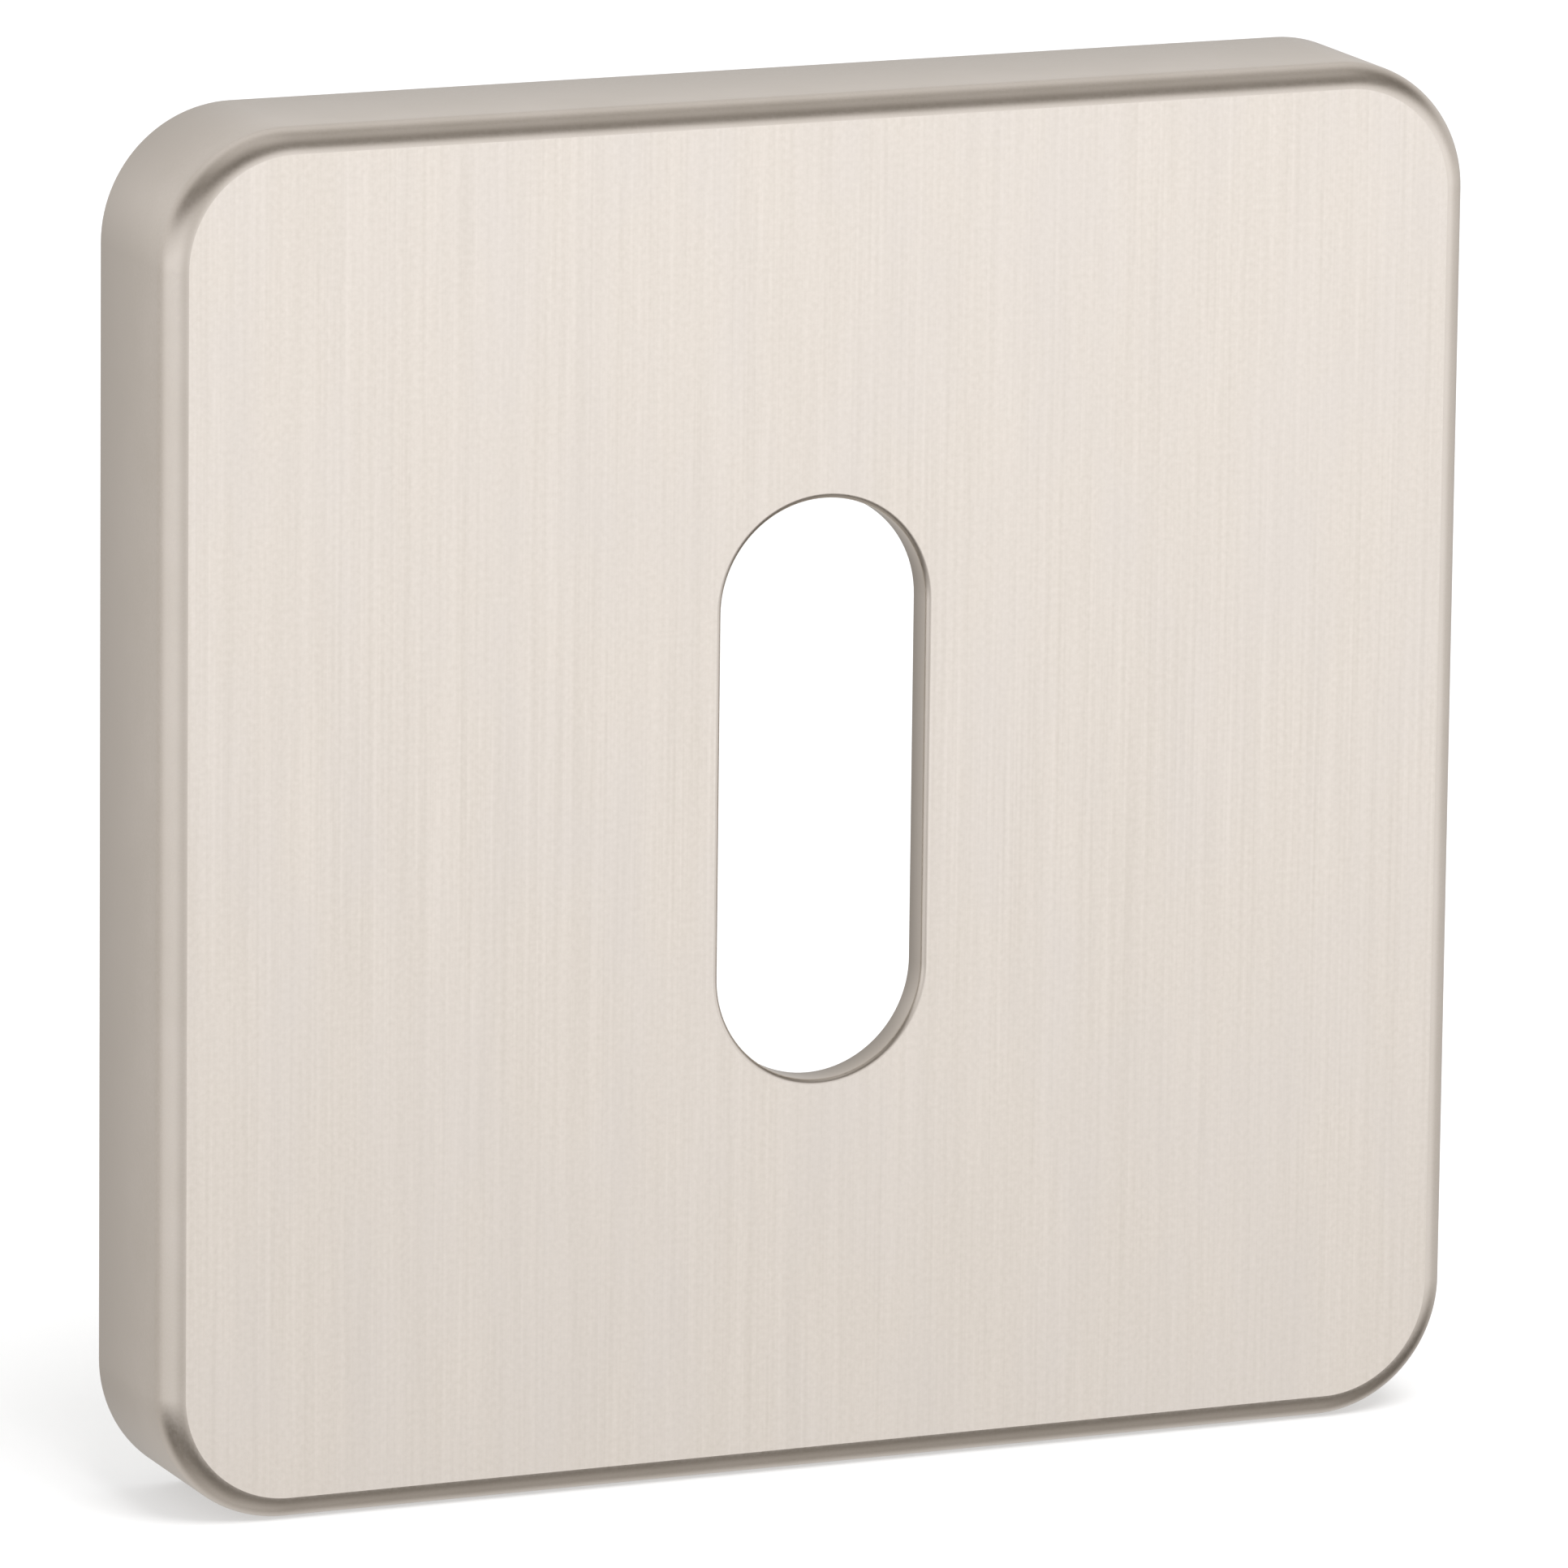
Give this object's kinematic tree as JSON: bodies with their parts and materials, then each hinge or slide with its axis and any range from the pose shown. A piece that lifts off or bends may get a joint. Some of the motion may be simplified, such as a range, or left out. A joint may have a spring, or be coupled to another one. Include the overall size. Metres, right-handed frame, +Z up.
{
  "type": "door rosette",
  "caption": "Square satin metal key rosette with rounded corners and an upright oblong key slot; its cap snaps over a moulded base plate that screws to a door.",
  "frame": {"origin": "middle of the back, in the door's surface, on the key slot's axis", "axes": "+X to the right seen from the front, +Y into the door, +Z up; the face looks along -Y"},
  "size_m": [0.052, 0.007, 0.052],
  "materials": {
    "brushed_nickel": "upright satin brush on the face, fine satin on the sides",
    "moulded_nylon": "natural colour, fine moulded grain"
  },
  "bodies": {
    "root": {"cover_cap": "brushed_nickel", "base_plate": "moulded_nylon"}
  },
  "joints": []
}
